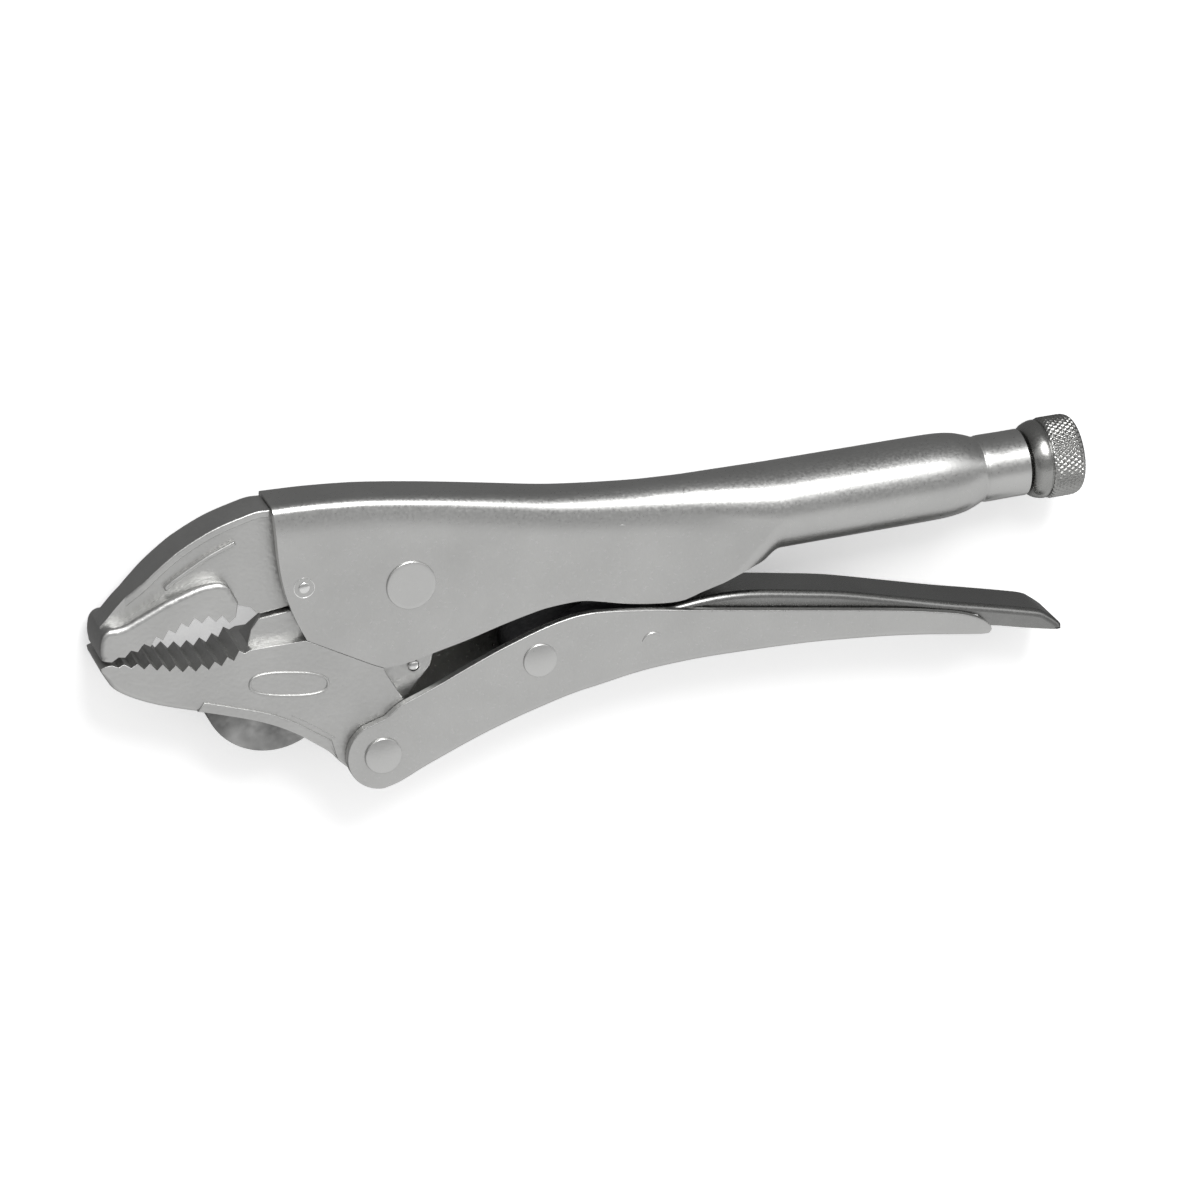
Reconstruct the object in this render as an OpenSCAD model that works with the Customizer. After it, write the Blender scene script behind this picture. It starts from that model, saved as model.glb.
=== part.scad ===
// Locking pliers, curved jaws, about 250 mm long.
// The tool lies on its side: Z is the thickness, X runs from the jaws to the knob,
// Y points from the lower handle to the spine of the upper handle.
// The origin is the middle of the main rivet that joins the two jaws.

/* [Overall] */
// reach of the jaws in front of the main rivet
jaw_length = 76; // [63:92]
// reach of the upper handle behind the main rivet, to the end of the neck
handle_length = 154; // [128:186]
// height of the profiles, as a share of the drawn height
height_share = 1; // [0.84:0.01:1.2]

/* [Sheet metal] */
// outside width of the upper handle channel
channel_width = 15.2; // [12.6:0.1:18.4]
// sheet thickness of the upper handle
sheet = 2.4; // [2:0.1:2.9]
// sheet thickness of the lower handle
lower_sheet = 2.1; // [1.7:0.1:2.6]
// sheet thickness of the release lever
lever_sheet = 1.6; // [1.3:0.1:2]
// outside radius of the rolled tube
tube_r = 10.5; // [9.4:0.1:12.6]
// outside radius of the neck
neck_r = 8.1; // [7.6:0.1:9.4]

/* [Pins and screw] */
// radius of the main rivet shank
main_rivet_r = 5.2; // [4.3:0.1:6.3]
// radius of the handle rivet shank
handle_rivet_r = 3.9; // [3.2:0.1:4.7]
// radius of the link rivet shank
link_rivet_r = 3.5; // [2.9:0.1:4.2]
// radius of the lever pin
lever_pin_r = 2; // [1.6:0.1:2.4]
// radius of the adjusting screw
screw_r = 4.7; // [3.9:0.1:5.3]
// radius of the knurled knob
knob_r = 9.9; // [9.2:0.1:12]
// free travel left between the screw button and the link
screw_gap = 3.2; // [2.6:0.1:3.8]

/* [Teeth and fits] */
// pitch of the teeth
tooth_pitch = 3; // [2.5:0.1:3.6]
// depth of the teeth
tooth_depth = 1.7; // [1.4:0.1:2]
// radial clearance of every running pin
pin_play = 0.05; // [0.04:0.01:0.07]
// side clearance between sliding plates
side_play = 0.2; // [0.16:0.01:0.24]

/* [Hidden] */
$fn = 64;
eps = 0.01;
kj = jaw_length / 76;
kh = handle_length / 154;
ky = height_share;
half_w = channel_width / 2;
inner_w = half_w - sheet;
tongue_w = inner_w - side_play;
link_w = 0.88 * tongue_w;
lower_in = half_w + side_play;
lower_out = lower_in + lower_sheet;
lever_out = lower_in - 2 * side_play;
lever_in = lever_out - lever_sheet;
web_w = 3.6 / 5.2 * inner_w;
// drawn points are stretched to the driving sizes here
function P(x, y) = [x * (x < 0 ? kj : kh), y * ky];
function Q(list) = [for (p = list) P(p[0], p[1])];
// one smooth curve through the listed points
function catmull(a, b, c, d, t) =
    0.5 * (2 * b + (c - a) * t + (2 * a - 5 * b + 4 * c - d) * t * t
    + (3 * b - a - 3 * c + d) * t * t * t);
function smooth(list, n = 4) =
    [for (i = [0:len(list) - 2]) for (k = [0:n - 1])
        catmull(list[max(i - 1, 0)], list[i], list[i + 1],
                list[min(i + 2, len(list) - 1)], k / n),
     list[len(list) - 1]];
function shifted(list, dx, dy) = [for (p = list) [p[0] + dx, p[1] + dy]];
function rev(list) = [for (i = [len(list) - 1:-1:0]) list[i]];
// distance along a list of points, and the point at that distance
function run(list, i) = i == 0 ? 0 : run(list, i - 1) + norm(list[i] - list[i - 1]);
function spot(list, s, i = 1) =
    let (d = norm(list[i] - list[i - 1]))
    s <= d || i == len(list) - 1 ? list[i - 1] + (list[i] - list[i - 1]) * (s / d)
    : spot(list, s - d, i + 1);
// zigzag laid on a curve: valleys on the curve, tips lifted by rise
function zigzag(list, rise) =
    let (total = run(list, len(list) - 1),
         count = floor(total / tooth_pitch),
         step = total / count)
    [for (i = [0:count - 1]) each
        [spot(list, i * step), spot(list, (i + 0.5) * step) + [0, rise]],
     list[len(list) - 1]];

// pivots
A = [0, 0];
B = P(-10.2, -40.8);
C = P(29.4, -23.7);
E = P(57.5, -24.5);
axis_y = 1.4 * ky;
D = [89.5 * kh, axis_y];
jaw_pin_at = P(-25.4, 3.8);
spring_at = P(-0.2, -21.4);
post_at = P(52, 4.5);

// lower edge of the upper handle next to the lower jaw
shoulder_r = 21.1;
shoulder_a = 239.7;
shoulder_run = 17.4;
shoulder_gap = 0.25;
shoulder_foot = shoulder_r * [cos(shoulder_a), sin(shoulder_a)];
shoulder_end = shoulder_foot + shoulder_run * [sin(shoulder_a), -cos(shoulder_a)];
handle_front = [[-31.2, 24.4], [-31.1, 16.6], [-30.8, 11], [-30.4, 6.8], [-30, 3.4],
                [-29, -0.6], [-27.6, -5]];
spine_points = [[-31.2, 24.4], [-21.6, 24], [-12, 23.2], [-4.9, 22.3], [7, 20.4],
                [21.6, 17.8], [33.7, 15.6], [41, 14.6], [51, 13.6], [61, 12.9],
                [76, 12.3], [88, 12]];
belly_points = [[0.2, -19.1], [4.4, -18.1], [12.8, -16.3], [20.8, -14.2], [28.3, -12.5],
                [33.2, -11.7], [40.7, -11.5], [46, -12.6], [52, -14.2], [60, -15.6],
                [66.1, -15.8], [70.4, -14.5], [75.5, -12.9], [80.7, -10.2],
                [84, -8.8], [88, -7.6]];
spine = smooth(Q(spine_points));
belly = smooth(Q(belly_points));
front_edge = smooth(concat(Q(handle_front), [shoulder_end]));

// tube, neck and screw stations along X
cone_x = 66 * kh;
tube_x = 92 * kh;
taper_x = 137 * kh;
neck_x = 143.5 * kh;
neck_end = 154.6 * kh;
bush_len = 8.5;
bush_r = neck_r - sheet;
thread_bore = screw_r + pin_play;
link_end_r = 3.9;
button_x = D[0] + link_end_r + screw_gap;
button_len = 5;
screw_tip_r = 2.6;
knob_x = neck_end + 0.8;
shoulder_len = 5;
knurl_len = 8.2;

// lower handle outline, upper edge then lower edge
lower_top = [[-8.8, -31.6], [-5.2, -29.1], [-0.2, -27.2], [4.8, -25.3], [9.8, -23.2],
             [14.8, -21.2], [19.8, -19.3], [24.8, -17.6], [29.9, -16], [34.9, -14.8],
             [40, -14.1], [46, -14.3], [57.1, -15.9], [69.5, -18.2], [94.6, -22.8],
             [120, -27.5], [130.3, -29.8], [135.4, -31.1], [139.3, -32.7],
             [141.9, -34.4], [143.4, -36.4], [143.6, -37.6]];
lower_bottom = [[-10, -49.3], [-6.3, -48.4], [-1.3, -46.4], [3.7, -44.4], [11.8, -41.3],
                [18.9, -38.9], [26.4, -36.7], [36.5, -34.2], [44, -33], [54.1, -31.5],
                [64.2, -30.9], [75, -30.9], [94.5, -31.7], [107.3, -32.8],
                [120.1, -34.3], [133, -36.3], [143.6, -37.9]];
lower_upper_edge = smooth(Q(lower_top));
lower_lower_edge = smooth(Q(lower_bottom));
eye_r = 8.6;
jaw_eye_r = eye_r - lower_sheet - 0.4;

// release lever, upper surface then underside
lever_top = [[45.5, -22.2], [48, -20.9], [52, -19.7], [57, -18.4], [66, -17.1],
             [75, -16.6], [84, -17.2], [96, -19.4], [107, -21.7], [121, -25.6],
             [133, -29], [143, -31.6], [152, -34], [157.4, -35.6]];
lever_end = [[159.6, -37], [162.2, -39.2], [163.2, -40.4], [162.7, -41.2]];
lever_under = [[160.6, -41], [153, -39.2], [146.6, -37.4], [145.2, -36.2], [144, -34.4],
               [133, -31.6], [121, -29.6], [107, -27.6], [96, -26.4], [84, -26.4],
               [75, -27], [66, -28], [57.5, -28.3], [52.5, -27.6], [48, -24.6],
               [45.5, -22.9]];

// jaws
rim_points = [[-72.6, 4.2], [-70.6, 4.9], [-68, 6.2], [-65.7, 8], [-63.1, 10], [-60.6, 12],
              [-58.1, 13.9], [-55.5, 15.7], [-53.1, 17.2], [-48.2, 19.6],
              [-43.8, 21.3], [-38.5, 22.7], [-34.6, 23.5], [-31.3, 23.4]];
rim_width = 3;
rim = smooth(Q(rim_points), 3);
lower_valleys = [[-74.4, -8.6], [-70.7, -8.8], [-67.7, -9], [-64.7, -9.5], [-61.9, -10.2],
                 [-59.2, -11], [-56.4, -11.7], [-53.4, -12.2], [-49.8, -12.4],
                 [-46.5, -12.1], [-43.1, -11.2], [-40.6, -9.9]];
upper_valleys = [[-74.4, -5.2], [-70.5, -4.9], [-66.5, -3.8], [-62.5, -2.6],
                 [-58.5, -1.1], [-55.3, 0.1], [-51.7, 1], [-48.4, 1], [-45.3, 0.5],
                 [-42, -0.6]];
lower_curve = smooth(Q(lower_valleys));
upper_curve = smooth(Q(upper_valleys));
jaw_bottom = [[-20.1, -41.6], [-22.6, -38.5], [-26.7, -35.1], [-29.2, -33.1],
              [-34, -30], [-39.8, -27.2], [-46.1, -24.8], [-51.2, -23], [-54.7, -21.9],
              [-59.3, -20.3], [-63.9, -18.4], [-68.4, -16], [-72.1, -13.6]];
heel_at = P(-34.5, -21.2);
heel_r = 16.1;

module plate(w) {
    translate([0, 0, -w])
        linear_extrude(2 * w)
            children();
}
module along_x(x, y) {
    translate([x, y, 0])
        rotate([0, 90, 0])
            children();
}
module disc_pin(at, r, w) {
    translate([at[0], at[1], -w])
        cylinder(r = r, h = 2 * w);
}

// side view of the upper handle channel, drop lowers the spine
module handle_side(drop) {
    arc = [for (k = [1:5]) let (a = shoulder_a + 2 * k) shoulder_r * [cos(a), sin(a)]];
    polygon(concat(
        [for (p = spine) [p[0], p[1] - drop]],
        rev(belly),
        rev(arc),
        [shoulder_foot, shoulder_end],
        [for (p = rev(front_edge)) if (p[1] < spine[0][1] - drop - 0.5) p]));
}
module handle_cavity() {
    low = -60 * ky;
    inner = [for (p = spine) [p[0], p[1] - sheet]];
    polygon(concat([[-60 * kj, inner[0][1] + 0.8]], inner,
                   [[tube_x, axis_y], [tube_x, low], [-60 * kj, low]]));
}
// rolled tube, taper and neck, and the hollow inside them, as turned shapes
module tail_outside() {
    along_x(0, axis_y)
        rotate_extrude()
            polygon([[0, cone_x], [half_w - 0.3, cone_x], [tube_r, tube_x],
                     [tube_r - 0.2, taper_x], [neck_r, neck_x], [neck_r, neck_end],
                     [0, neck_end]]);
}
module tail_inside() {
    back = neck_end + 1;
    along_x(0, axis_y)
        rotate_extrude()
            polygon([[0, tube_x - 6], [tube_r - sheet - 0.6, tube_x - 6],
                     [tube_r - sheet, tube_x + 2], [tube_r - sheet - 0.2, taper_x],
                     [bush_r, neck_x], [bush_r, back], [0, back]]);
}
module upper_handle() {
    color([0.72, 0.72, 0.72])
    difference() {
        union() {
            plate(half_w) handle_side(1.6);
            plate(half_w - 0.7) handle_side(0.7);
            plate(half_w - 1.6) handle_side(0);
            tail_outside();
        }
        plate(inner_w) handle_cavity();
        tail_inside();
        disc_pin(A, main_rivet_r, 20);
        disc_pin(jaw_pin_at, 2, 20);
        disc_pin(post_at, 1.5, 20);
    }
}

// front part of the upper jaw: rim, web, toothed bar and nose
module bar_side() {
    polygon(concat(
        Q([[-41, 2.8], [-42.6, 6.6], [-43.8, 8], [-45.8, 8.6], [-49.1, 8.5], [-52.2, 7.8],
           [-55.9, 6.7], [-58.8, 5.7], [-63.7, 3.6], [-67.6, 2], [-69.8, 1.6],
           [-71.6, 5], [-73.2, 5.4], [-75, 4.6], [-76.1, 3], [-76.3, -1.6],
           [-75.8, -5.6]]),
        zigzag(upper_curve, -tooth_depth)));
}
module web_side() {
    polygon(concat(
        rim,
        Q([[-30.6, 21.6], [-28.6, 21.4], [-28.6, -1.7], [-35.2, -2.4], [-36.2, -2],
           [-37.6, -0.4], [-41, 0.8], [-50, 3], [-60, 1.5], [-70, 0], [-72.8, 2]])));
}
module shank_side() {
    top = [for (p = spine) if (p[0] < -13.5 * kj) [p[0], p[1] - sheet]];
    polygon(concat(
        top,
        Q([[-14, 10.5], [-19.5, 3.5], [-21.4, -1.1], [-22.4, -1.6], [-28.6, -1.7],
           [-29.6, 3.4], [-30.4, 11], [-30.9, 20]])));
}
module upper_jaw() {
    color([0.72, 0.72, 0.72])
    difference() {
        union() {
            plate(web_w) web_side();
            plate(inner_w - 0.1) rim_band();
            plate(inner_w) shank_side();
            plate(web_w + 0.9) short_rib();
            plate(half_w) bar_side();
        }
        disc_pin(jaw_pin_at, 2, 20);
    }
}
module rim_band() {
    inner = [for (i = [0:len(rim) - 1])
        let (a = rim[max(i - 1, 0)], b = rim[min(i + 1, len(rim) - 1)],
             t = (b - a) / norm(b - a))
        rim[i] + rim_width * [t[1], -t[0]]];
    polygon(concat(rim, rev(inner)));
}
module short_rib() {
    rib = smooth(Q([[-57.6, 8.5], [-55.3, 10.1], [-51.6, 12.1], [-48.4, 13.8],
                    [-46, 14.9], [-40.3, 17.1]]), 3);
    polygon(concat(rib, rev(shifted(rib, 0.5, -1.2))));
}
module jaw_pin() {
    color([0.66, 0.66, 0.66])
    difference() {
        disc_pin(jaw_pin_at, 2, half_w - 0.3);
        for (s = [0, 1])
            mirror([0, 0, s])
                translate([jaw_pin_at[0], jaw_pin_at[1], half_w - 0.9])
                    cylinder(r1 = 0.3, r2 = 1.2, h = 0.61);
    }
}
module headed_pin(at, r, w, head_r, head_h) {
    color([0.76, 0.76, 0.76])
    union() {
        disc_pin(at, r, w + eps);
        for (s = [0, 1])
            mirror([0, 0, s])
                translate([at[0], at[1], w])
                    cylinder(r1 = head_r, r2 = head_r - 0.35 * head_h, h = head_h);
    }
}
module main_rivet() {
    headed_pin(A, main_rivet_r, half_w, main_rivet_r + 0.8, 0.45);
}
module screw_bush() {
    color([0.62, 0.62, 0.6])
    along_x(neck_end - bush_len - 1, axis_y)
        difference() {
            cylinder(r = bush_r, h = bush_len);
            translate([0, 0, -1])
                cylinder(r = thread_bore, h = bush_len + 2);
        }
}
module spring_post() {
    color([0.6, 0.6, 0.6])
    disc_pin(post_at, 1.5, half_w - 0.1);
}

module tongue_side() {
    polygon(Q([[-39.4, -9.4], [-38.3, -5.4], [-36.2, -3.1], [-28.6, -2.3], [-10, -2.3],
               [-5, -4], [6, -6], [8.4, -8], [3.9, -22.4], [-2.7, -29.5],
               [-12, -34], [-30, -20]]));
    circle(r = main_rivet_r + 5.6);
}
module jaw_side() {
    difference() {
        union() {
            polygon(concat(
                zigzag(lower_curve, tooth_depth),
                Q([[-39.4, -9.4], [-25, -9.2], [-8.2, -19], [-7.9, -20.2], [-3.4, -29],
                   [-4.4, -36]]),
                [B],
                Q(jaw_bottom),
                Q([[-74.4, -10.6], [-75.4, -8.4], [-75.8, -7.4]])));
            translate(B)
                circle(r = jaw_eye_r);
            polygon(Q([[-20.1, -41.6], [-10.2, -35], [-9, -45.6], [-13, -46.2],
                       [-17.4, -44.4]]));
        }
        offset(delta = shoulder_gap) handle_side(0);
        circle(r = shoulder_r + shoulder_gap);
    }
}
module lower_jaw() {
    color([0.72, 0.72, 0.72])
    difference() {
        union() {
            plate(tongue_w) tongue_side();
            plate(half_w) jaw_side();
            plate(4) heel_side();
        }
        disc_pin(A, main_rivet_r + pin_play, 20);
        disc_pin(B, handle_rivet_r + pin_play, 20);
        disc_pin(spring_at, 1.3, 20);
    }
}
module heel_side() {
    intersection() {
        translate(heel_at)
            circle(r = heel_r);
        polygon(Q([[-54, -22], [-22, -22], [-22, -46], [-54, -46]]));
    }
}
module spring_pin() {
    color([0.8, 0.8, 0.8])
    disc_pin(spring_at, 1.3, tongue_w - 0.15);
}

module lower_side() {
    polygon(concat([B], lower_upper_edge, rev(lower_lower_edge)));
    translate(B)
        circle(r = eye_r);
    polygon(Q([[-14.4, -33.4], [-8.8, -31.6], [-8, -38], [-17.6, -37]]));
}
module lower_web() {
    keep = [for (p = lower_lower_edge) if (p[0] > B[0] + 1 && p[0] < 139 * kh) p];
    polygon(concat(keep, rev(shifted(keep, 0, lower_sheet * 1.05))));
}
module lower_handle() {
    color([0.7, 0.7, 0.7])
    difference() {
        union() {
            for (s = [0, 1])
                mirror([0, 0, s])
                    translate([0, 0, lower_in])
                        linear_extrude(lower_sheet)
                            lower_side();
            plate(lower_in + 1) lower_web();
        }
        disc_pin(B, handle_rivet_r, 20);
        disc_pin(C, link_rivet_r, 20);
        disc_pin(E, lever_pin_r, 20);
        disc_pin(B, jaw_eye_r + 0.3, lower_in);
    }
}
module handle_rivet() {
    headed_pin(B, handle_rivet_r, lower_out, handle_rivet_r + 0.6, 0.9);
}
module link_rivet() {
    headed_pin(C, link_rivet_r, lower_out, link_rivet_r + 0.7, 0.7);
}
module lever_pin() {
    color([0.7, 0.7, 0.7])
    disc_pin(E, lever_pin_r, lower_out - 0.5);
}

module toggle_link() {
    turn = atan2(D[1] - C[1], D[0] - C[0]);
    span = norm(D - C);
    color([0.6, 0.6, 0.6])
    difference() {
        plate(link_w)
            union() {
                translate(C) circle(r = link_rivet_r + 2.2);
                translate(D) circle(r = link_end_r);
                translate(C)
                    rotate(turn)
                        polygon([[0, -4.6], [span, -3.6], [span, 3.6], [0, 5.2]]);
            }
        plate(link_w - 1.7)
            translate(C)
                rotate(turn)
                    polygon([[10, -8], [span + 8, -8], [span + 8, 1.9], [10, 2.6]]);
        disc_pin(C, link_rivet_r + pin_play, 20);
        disc_pin(D, 2.5, 20);
    }
}
// two rings that hold the link in the middle of the wider lower handle
module link_spacers() {
    color([0.66, 0.66, 0.66])
    difference() {
        for (s = [0, 1])
            mirror([0, 0, s])
                translate([C[0], C[1], link_w + 0.1])
                    cylinder(r = link_rivet_r + 1.7, h = lower_in - link_w - 0.2);
        disc_pin(C, link_rivet_r + pin_play, 20);
    }
}
module thrust_pin() {
    color([0.66, 0.66, 0.66])
    disc_pin(D, 2.5, link_w);
}

module lever_side() {
    polygon(concat(smooth(Q(lever_top)), Q(lever_end), Q(lever_under)));
}
module release_lever() {
    shell = smooth(Q(lever_top));
    color([0.66, 0.66, 0.66])
    difference() {
        plate(lever_out) lever_side();
        plate(lever_in)
            polygon(concat(shifted(shell, 0.6, -lever_sheet),
                           Q([[168, -41], [168, -60], [30, -60], [30, -26]])));
        disc_pin(E, lever_pin_r + pin_play, 20);
    }
}

module screw_button() {
    color([0.55, 0.55, 0.55])
    along_x(button_x, axis_y)
        difference() {
            cylinder(r = 3.9, h = button_len);
            translate([0, 0, 1.6])
                cylinder(r = screw_tip_r + pin_play, h = button_len);
        }
}
module adjusting_screw() {
    color([0.7, 0.7, 0.68])
    along_x(button_x, axis_y)
        union() {
            translate([0, 0, 1.8])
                cylinder(r = screw_tip_r, h = button_len);
            translate([0, 0, button_len + 0.2])
                cylinder(r = screw_r, h = knob_x + shoulder_len + 4 - button_x - button_len - 0.2);
        }
}
module knob() {
    color([0.7, 0.7, 0.7])
    along_x(knob_x, axis_y)
        difference() {
            union() {
                cylinder(r1 = knob_r - 1.9, r2 = knob_r - 0.9, h = 1.6);
                translate([0, 0, 1.6 - eps])
                    cylinder(r1 = knob_r - 0.9, r2 = knob_r - 0.3, h = shoulder_len - 1.6);
                translate([0, 0, shoulder_len - 2 * eps])
                    cylinder(r = knob_r, h = knurl_len + eps);
                translate([0, 0, shoulder_len + knurl_len - 2 * eps])
                    cylinder(r1 = knob_r, r2 = knob_r - 1.2, h = 1);
            }
            translate([0, 0, -1])
                cylinder(r = screw_r, h = shoulder_len + 5);
        }
}
module return_spring() {
    span = norm(post_at - spring_at);
    turn = atan2(post_at[1] - spring_at[1], post_at[0] - spring_at[0]);
    color([0.6, 0.6, 0.62])
    translate(spring_at)
        rotate([0, 0, turn])
            rotate([0, 90, 0])
                difference() {
                    translate([0, 0, 9])
                        cylinder(r = 2.7, h = span - 18);
                    translate([0, 0, 8])
                        cylinder(r = 1.9, h = span - 16);
                }
}

upper_handle();
upper_jaw();
jaw_pin();
main_rivet();
screw_bush();
spring_post();
lower_jaw();
spring_pin();
lower_handle();
handle_rivet();
link_rivet();
lever_pin();
toggle_link();
thrust_pin();
release_lever();
screw_button();
adjusting_screw();
knob();
link_spacers();
return_spring();
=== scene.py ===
import math
import bmesh
import bpy
import numpy as np
from mathutils import Matrix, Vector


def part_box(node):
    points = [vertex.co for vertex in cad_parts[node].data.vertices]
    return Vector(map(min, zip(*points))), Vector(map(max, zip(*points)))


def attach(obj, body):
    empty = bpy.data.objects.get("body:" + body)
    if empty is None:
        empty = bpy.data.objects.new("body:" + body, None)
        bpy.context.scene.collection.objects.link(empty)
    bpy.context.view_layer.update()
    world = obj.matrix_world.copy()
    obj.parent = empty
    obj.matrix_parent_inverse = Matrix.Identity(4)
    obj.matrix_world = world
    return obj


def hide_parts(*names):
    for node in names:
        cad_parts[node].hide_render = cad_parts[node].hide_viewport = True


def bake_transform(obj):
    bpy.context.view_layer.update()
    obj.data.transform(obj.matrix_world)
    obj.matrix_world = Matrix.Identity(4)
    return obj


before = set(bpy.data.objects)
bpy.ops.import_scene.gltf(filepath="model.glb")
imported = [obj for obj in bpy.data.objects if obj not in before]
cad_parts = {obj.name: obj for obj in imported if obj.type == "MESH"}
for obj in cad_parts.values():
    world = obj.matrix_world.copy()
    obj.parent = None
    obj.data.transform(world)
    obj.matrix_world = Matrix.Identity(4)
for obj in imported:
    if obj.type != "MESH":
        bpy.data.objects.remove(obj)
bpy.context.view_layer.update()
mm = 0.001

# camera first: a long lens on the near side, above the spine and a little towards the jaws
cameraSet = dict(lens=150, place=(-0.26665, 0.45566, 1.04256), roll=3.0, swing=18.0, lift=22.5)


def makeCamera(c):
    swing, lift, roll = (math.radians(c[k]) for k in ("swing", "lift", "roll"))
    back = np.array([-math.sin(swing) * math.cos(lift), math.sin(lift), math.cos(swing) * math.cos(lift)])
    right = np.cross([0, 1, 0], back)
    right /= np.linalg.norm(right)
    up = np.cross(back, right)
    turn = np.array([[math.cos(roll), math.sin(roll), 0], [-math.sin(roll), math.cos(roll), 0], [0, 0, 1]])
    axes = turn @ np.stack([right, up, back], axis=1)
    data = bpy.data.cameras.new("productCamera")
    data.lens = c["lens"]
    data.clip_end = 20
    cam = bpy.data.objects.new("productCamera", data)
    bpy.context.scene.collection.objects.link(cam)
    matrix = Matrix(axes.tolist()).to_4x4()
    matrix.translation = c["place"]
    cam.matrix_world = matrix
    bpy.context.scene.camera = cam


makeCamera(cameraSet)
print("camera set")

# finishes: tone is the mean colour, cloud the slow change in it, grain the fine pitted texture
finishes = dict(
    satinNickel=dict(tone=(0.60, 0.60, 0.59), cloud=0.05, rough=0.33, spread=0.08, grain=1500, pits=0.04),
    # the folded lever's tone is about half the satin nickel's: painted shade for the lever lying between
    # the handles
    foldedNickelPaintedShade=dict(tone=(0.31, 0.31, 0.305), cloud=0.08, rough=0.30, spread=0.08, grain=1500, pits=0.04),
    forgedNickel=dict(tone=(0.60, 0.60, 0.59), cloud=0.06, rough=0.40, spread=0.08, grain=1100, pits=0.16),
    rivetNickel=dict(tone=(0.66, 0.66, 0.65), cloud=0.04, rough=0.33, spread=0.06, grain=1800, pits=0.06),
    oiledSteel=dict(tone=(0.09, 0.09, 0.095), cloud=0.20, rough=0.45, spread=0.10, grain=900, pits=0.15),
    roughForging=dict(tone=(0.42, 0.42, 0.415), cloud=0.75, rough=0.52, spread=0.16, grain=420, pits=0.9),
    knurledNickel=dict(tone=(0.40, 0.40, 0.39), cloud=0.08, rough=0.28, spread=0.08, grain=1600, pits=0.06),
    polishedPin=dict(tone=(0.86, 0.86, 0.85), cloud=0.03, rough=0.20, spread=0.05, grain=2000, pits=0.03),
    platedScrew=dict(tone=(0.52, 0.52, 0.51), cloud=0.08, rough=0.32, spread=0.10, grain=1400, pits=0.06),
    springWire=dict(tone=(0.50, 0.50, 0.52), cloud=0.05, rough=0.25, spread=0.08, grain=2200, pits=0.04))
textures = dict(cloudScale=55, cloudRange=(0.3, 0.7), grainRange=(0.25, 0.75), pitDepth=0.0004)


def makeFinish(name, f):
    # colour = tone (1 -+ cloud) by a slow noise, roughness = rough -+ spread and bump by fine ones
    mat = bpy.data.materials.new(name)
    mat.use_nodes = True
    nodes, links = mat.node_tree.nodes, mat.node_tree.links
    shader = nodes["Principled BSDF"]
    shader.inputs["Metallic"].default_value = 1.0
    place = nodes.new("ShaderNodeTexCoord")

    def noise(scale, detail):
        n = nodes.new("ShaderNodeTexNoise")
        n.inputs["Scale"].default_value = scale
        n.inputs["Detail"].default_value = detail
        links.new(place.outputs["Object"], n.inputs["Vector"])
        return n.outputs["Fac"]

    cloud, grain, fine = noise(textures["cloudScale"], 4), noise(f["grain"], 5), noise(f["grain"], 1)
    tint = nodes.new("ShaderNodeMix")
    tint.data_type = "RGBA"
    tint.inputs["A"].default_value = (*(c * (1 - f["cloud"]) for c in f["tone"]), 1)
    tint.inputs["B"].default_value = (*(min(c * (1 + f["cloud"]), 1) for c in f["tone"]), 1)
    stretch = nodes.new("ShaderNodeMapRange")
    stretch.inputs["From Min"].default_value = textures["cloudRange"][0]
    stretch.inputs["From Max"].default_value = textures["cloudRange"][1]
    links.new(cloud, stretch.inputs["Value"])
    links.new(stretch.outputs["Result"], tint.inputs["Factor"])
    links.new(tint.outputs["Result"], shader.inputs["Base Color"])
    gloss = nodes.new("ShaderNodeMapRange")
    gloss.inputs["From Min"].default_value = textures["grainRange"][0]
    gloss.inputs["From Max"].default_value = textures["grainRange"][1]
    gloss.inputs["To Min"].default_value = f["rough"] - f["spread"]
    gloss.inputs["To Max"].default_value = f["rough"] + f["spread"]
    links.new(grain, gloss.inputs["Value"])
    links.new(gloss.outputs["Result"], shader.inputs["Roughness"])
    bump = nodes.new("ShaderNodeBump")
    bump.inputs["Strength"].default_value = f["pits"]
    bump.inputs["Distance"].default_value = textures["pitDepth"]
    links.new(fine, bump.inputs["Height"])
    links.new(bump.outputs["Normal"], shader.inputs["Normal"])
    return mat


finish = {name: makeFinish(name, f) for name, f in finishes.items()}
print("finishes made")


def smooth(points, steps=6):
    # Catmull-Rom: 0.5 (2b + (c - a)t + (2a - 5b + 4c - d)t^2 + (3b - a - 3c + d)t^3)
    p = np.asarray(points, float)
    q = np.vstack([2 * p[0] - p[1], p, 2 * p[-1] - p[-2]])
    t = np.linspace(0, 1, steps, endpoint=False)[None, :, None]
    a, b, c, d = (q[i:len(q) - 3 + i, None] for i in range(4))
    curve = 0.5 * (2 * b + (c - a) * t + (2 * a - 5 * b + 4 * c - d) * t**2
                   + (3 * b - a - 3 * c + d) * t**3)
    return np.vstack([curve.reshape(-1, p.shape[1]), p[-1]])


def arc(centre, r, fromDeg, toDeg, count=12):
    a = np.radians(np.linspace(fromDeg, toDeg, count))
    return np.asarray(centre) + r * np.stack([np.cos(a), np.sin(a)], 1)


def gridFaces(rows, cols, loopRows=False, loopCols=False):
    i, j = np.meshgrid(np.arange(rows - (not loopRows)), np.arange(cols - (not loopCols)), indexing="ij")
    k, m = (i + 1) % rows, (j + 1) % cols
    return np.stack([i * cols + j, i * cols + m, k * cols + m, k * cols + j], -1).reshape(-1, 4).tolist()


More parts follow.
